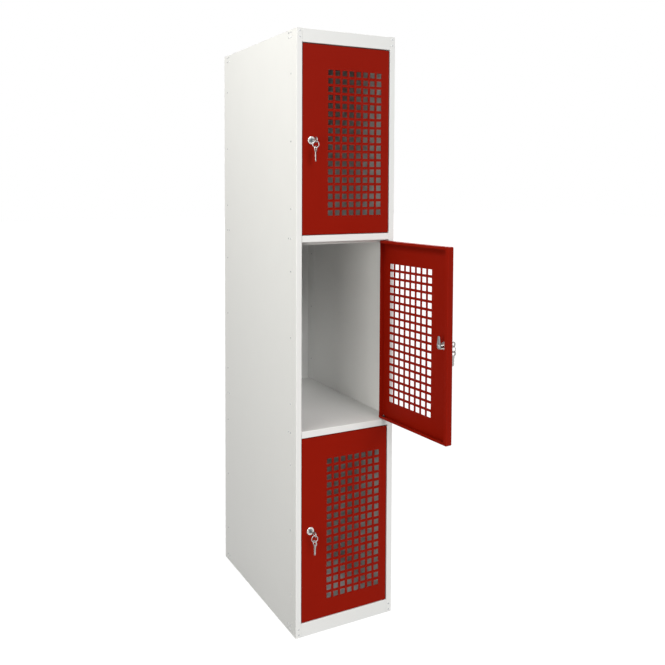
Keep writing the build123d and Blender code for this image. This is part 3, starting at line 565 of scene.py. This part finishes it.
def lock_nut(sizes):
    """Hexagon nut with broken corners."""
    start = -(sizes.door_sheet + sizes.washer_height)
    corner = sizes.nut_flats / 2 / cos(pi / NUT_FACETS)
    mesh = bmesh.new()
    rim = bmesh.ops.create_circle(mesh, segments=NUT_FACETS, radius=corner)["verts"]
    rim_edges = list({edge for vertex in rim for edge in vertex.link_edges})
    bmesh.ops.subdivide_edges(mesh, edges=rim_edges, cuts=3)
    rim_edges = list(mesh.edges)
    hole = bmesh.ops.create_circle(mesh, segments=4 * NUT_FACETS, radius=sizes.body_radius + THREAD_GAP)["verts"]
    hole_edges = list({edge for vertex in hole for edge in vertex.link_edges})
    ring = bmesh.ops.bridge_loops(mesh, edges=rim_edges + hole_edges)["faces"]
    block = bmesh.ops.extrude_face_region(mesh, geom=ring)["geom"]
    top = [item for item in block if isinstance(item, bmesh.types.BMVert)]
    bmesh.ops.translate(mesh, verts=top, vec=(0, 0, -sizes.nut_height))
    bmesh.ops.translate(mesh, verts=mesh.verts, vec=(0, 0, start))
    bmesh.ops.recalc_face_normals(mesh, faces=mesh.faces)
    edges = [edge for edge in mesh.edges if edge.is_manifold and edge.calc_face_angle() > NUT_EDGE_ANGLE]
    bmesh.ops.bevel(mesh, geom=edges, offset=2 * sizes.round_edge, offset_type="OFFSET", segments=2, profile=0.5,
                    affect="EDGES", material=-1)
    return mesh


class LOCKER_OT_lock_nuts(bpy.types.Operator):
    """Build the nuts and finish the washers behind the doors"""
    bl_idname = "locker.lock_nuts"
    bl_label = "Nuts and washers"

    def execute(self, context):
        finish = metal("Zinc plate", context.scene.locker_finish.zinc_colour, 0.34)
        for tier in TIERS:
            nut = lock_nut(context.scene.locker_locks)
            finished(f"{tier}_nut", merged([(nut, lock_place(tier))]), finish, f"{tier}_door_leaf",
                     f"{tier}_lock_nut")
            nut.free()
            dress(f"{tier}_lock_washer", finish)
        return {"FINISHED"}


class LOCKER_OT_cams(bpy.types.Operator):
    """Round the edges of the turning parts of each lock: plug, cam and screw"""
    bl_idname = "locker.cams"
    bl_label = "Plugs and cams"

    def execute(self, context):
        colours, edge = context.scene.locker_finish, context.scene.locker_locks.round_edge
        brushed = metal("Brushed nickel", colours.plug_colour, 0.30, mottle=0.10, mottle_size=1.5 * MM)
        zinc = metal("Zinc plate", colours.zinc_colour, 0.34)
        for tier in TIERS:
            for name, finish, slot in (("lock_plug", brushed, "lock_chrome"), ("lock_cam", zinc, "zinc"),
                                       ("cam_screw", zinc, "zinc")):
                node = f"{tier}_{name}"
                finished(f"{node}_rounded", rounded_copy(node, edge), finish, f"{tier}_lock_rotor", node)
        return {"FINISHED"}


class LOCKER_OT_keys(bpy.types.Operator):
    """Round the edges of the key in each lock and of the spare key on its ring"""
    bl_idname = "locker.keys"
    bl_label = "Keys"

    def execute(self, context):
        colours, edge = context.scene.locker_finish, context.scene.locker_locks.round_edge
        finish = metal("Nickel-plated brass", colours.key_colour, 0.28, mottle=0.14, mottle_size=2.5 * MM,
                       grain=0.006 * MM, along=(1.0, 1.0, 0.15))
        for tier in TIERS:
            for name, body in (("key", f"{tier}_key_in_lock"), ("spare_key", f"{tier}_spare")):
                node = f"{tier}_{name}"
                finished(f"{node}_rounded", rounded_copy(node, edge), finish, body, node)
        return {"FINISHED"}


def split_ring(sizes):
    """Key ring of two turns of flat wire."""
    half_wide, half_thick = 0.9 * sizes.ring_wire, 0.3 * sizes.ring_wire
    mesh = bmesh.new()
    section = bmesh.ops.create_circle(mesh, segments=RING_FACETS, radius=1.0)["verts"]
    bmesh.ops.scale(mesh, verts=section, vec=(half_wide, half_thick, 1.0))
    bmesh.ops.rotate(mesh, verts=section, cent=(0, 0, 0), matrix=Matrix.Rotation(pi / 2, 3, "X"))
    rise = 2 * (sizes.ring_wire - half_thick)
    bmesh.ops.translate(mesh, verts=section, vec=(sizes.ring_radius, 0, -rise / 2))
    start = list(mesh.edges)
    last = bmesh.ops.spin(mesh, geom=section + start, cent=(0, 0, 0), axis=(0, 0, 1), dvec=(0, 0, rise / RING_STEPS),
                          angle=2 * pi * RING_TURNS, steps=RING_STEPS, use_merge=False,
                          use_duplicate=False)["geom_last"]
    end = [item for item in last if isinstance(item, bmesh.types.BMEdge)]
    for loop in (start, end):
        bmesh.ops.contextual_create(mesh, geom=loop)
    bmesh.ops.recalc_face_normals(mesh, faces=mesh.faces)
    return mesh


class LOCKER_OT_key_rings(bpy.types.Operator):
    """Build the split ring that joins the two keys of each lock"""
    bl_idname = "locker.key_rings"
    bl_label = "Key rings"

    def execute(self, context):
        sizes = context.scene.locker_locks
        finish = metal("Ring wire", context.scene.locker_finish.zinc_colour, 0.22, mottle=0.08)
        for tier in TIERS:
            joint = JOINTS[f"{tier}_spare_swing"]
            along, up = Vector(joint["axis"]).normalized(), Vector((0, 0, 1))
            place = Matrix((along, up, along.cross(up))).transposed().to_4x4()
            place.translation = Vector(joint["pos_m"]) + up * sizes.ring_radius
            ring = split_ring(sizes)
            finished(f"{tier}_split_ring", merged([(ring, place)]), finish, f"{tier}_ring",
                     f"{tier}_key_ring")
            ring.free()
        return {"FINISHED"}


def seen_rays(tree):
    """1 for rays from the camera and for those that a gloss or a glass sends on, otherwise 0."""
    rays = add(tree, "ShaderNodeLightPath").outputs
    return maths(tree, "MAXIMUM", rays["Is Camera Ray"],
                 maths(tree, "MAXIMUM", rays["Is Glossy Ray"], rays["Is Transmission Ray"]))


def pale_world(level):
    """White behind the object, and an even light of the given level on it."""
    world = bpy.data.worlds.new("Studio")
    world.use_nodes = True
    tree = world.node_tree
    light = maths(tree, "MULTIPLY_ADD", seen_rays(tree), 1.0 - level, level)
    background = tree.nodes["Background"]
    background.inputs["Color"].default_value = (1.0, 1.0, 1.0, 1.0)
    tree.links.new(light, background.inputs["Strength"])
    bpy.context.scene.world = world


def pale_floor(stage):
    """White floor that keeps the shadow of the object."""
    made = bpy.data.materials.new("Pale floor")
    made.use_nodes = True
    tree = made.node_tree
    shader = tree.nodes["Principled BSDF"]
    spot = add(tree, "ShaderNodeTexCoord").outputs["Object"]
    cloud = add(tree, "ShaderNodeTexNoise", None, Vector=spot, Scale=FLOOR_CLOUDS, Detail=2.0)
    tone = maths(tree, "MULTIPLY_ADD", cloud.outputs["Fac"], 0.02, stage.floor_tone)
    colour = add(tree, "ShaderNodeCombineColor", None, Red=tone, Green=tone, Blue=tone)
    tree.links.new(colour.outputs["Color"], shader.inputs["Base Color"])
    shader.inputs["Roughness"].default_value = 0.9
    shader.inputs["Specular IOR Level"].default_value = 0.1
    shader.inputs["Emission Strength"].default_value = stage.floor_glow
    glow = seen_rays(tree)
    white = add(tree, "ShaderNodeCombineColor", None, Red=glow, Green=glow, Blue=glow)
    tree.links.new(white.outputs["Color"], shader.inputs["Emission Color"])
    return made


def lamp(name, kind, start, aim, power, **settings):
    """Soft lamp that points from a start to an aim."""
    data = bpy.data.lights.new(name, kind)
    data.energy = power
    for key, value in settings.items():
        setattr(data, key, value)
    made = bpy.data.objects.new(name, data)
    made.location = start
    made.rotation_euler = (Vector(aim) - Vector(start)).to_track_quat("-Z", "Y").to_euler()
    bpy.context.scene.collection.objects.link(made)


class LOCKER_OT_stage(bpy.types.Operator):
    """Set up the floor, the light and the camera"""
    bl_idname = "locker.stage"
    bl_label = "Stage"

    def execute(self, context):
        stage = context.scene.locker_stage
        mesh = bmesh.new()
        bmesh.ops.create_grid(mesh, x_segments=1, y_segments=1, size=stage.floor_size / 2)
        bmesh.ops.translate(mesh, verts=mesh.verts, vec=(0, 0, -stage.floor_drop))
        data = bpy.data.meshes.new("Floor")
        mesh.to_mesh(data)
        mesh.free()
        data.materials.append(pale_floor(stage))
        floor = bpy.data.objects.new("Floor", data)
        context.scene.collection.objects.link(floor)
        pale_world(stage.world_light)
        lamp("Top lamp", "AREA", stage.top_place, stage.top_aim, stage.top_power, color=stage.warm,
             shape="SQUARE", size=stage.top_size)
        lamp("Corner lamp", "AREA", stage.corner_place, stage.corner_aim, stage.corner_power, color=stage.warm,
             shape="SQUARE", size=stage.corner_size)
        centre = (0.0, 0.0, 0.0)
        lamp("Front light", "SUN", stage.front_place, centre, stage.front_light, angle=stage.even_spread)
        lamp("Rear light", "SUN", stage.rear_place, centre, stage.rear_light, angle=stage.even_spread)
        data = bpy.data.cameras.new("Camera")
        data.lens = stage.lens
        data.sensor_width = SENSOR_WIDTH
        data.shift_x, data.shift_y = stage.shift
        data.clip_end = CLIP_END
        camera = bpy.data.objects.new("Camera", data)
        camera.location = stage.eye
        camera.rotation_euler = (pi / 2 - stage.tilt, 0.0, -stage.turn)
        context.scene.collection.objects.link(camera)
        context.scene.camera = camera
        context.scene.view_settings.view_transform = "Standard"
        return {"FINISHED"}


PIECES = (LOCKER_OT_cabinet, LOCKER_OT_doors, LOCKER_OT_hinges, LOCKER_OT_rivets, LOCKER_OT_lock_bodies,
          LOCKER_OT_lock_nuts, LOCKER_OT_cams, LOCKER_OT_keys, LOCKER_OT_key_rings, LOCKER_OT_stage)
GROUPS = {"locker_finish": LockerFinish, "locker_rivets": LockerRivets, "locker_locks": LockerLocks,
          "locker_stage": LockerStage}


class LOCKER_PT_panel(bpy.types.Panel):
    """Sizes, colours and pieces of the locker"""
    bl_idname = "LOCKER_PT_panel"
    bl_label = "Bicycle locker"
    bl_space_type = "VIEW_3D"
    bl_region_type = "UI"
    bl_category = "Locker"

    def draw(self, context):
        for key, group in GROUPS.items():
            box = self.layout.box()
            for name in group.__annotations__:
                box.prop(getattr(context.scene, key), name)
        for piece in PIECES:
            self.layout.operator(piece.bl_idname)


def register():
    for item in (*GROUPS.values(), *PIECES, LOCKER_PT_panel):
        bpy.utils.register_class(item)
    for key, group in GROUPS.items():
        setattr(bpy.types.Scene, key, PointerProperty(type=group))


def unregister():
    for key in GROUPS:
        delattr(bpy.types.Scene, key)
    for item in reversed((*GROUPS.values(), *PIECES, LOCKER_PT_panel)):
        bpy.utils.unregister_class(item)


def main():
    register()
    for piece in PIECES:
        group, name = piece.bl_idname.split(".")
        getattr(getattr(bpy.ops, group), name)()


if __name__ == "__main__":
    main()
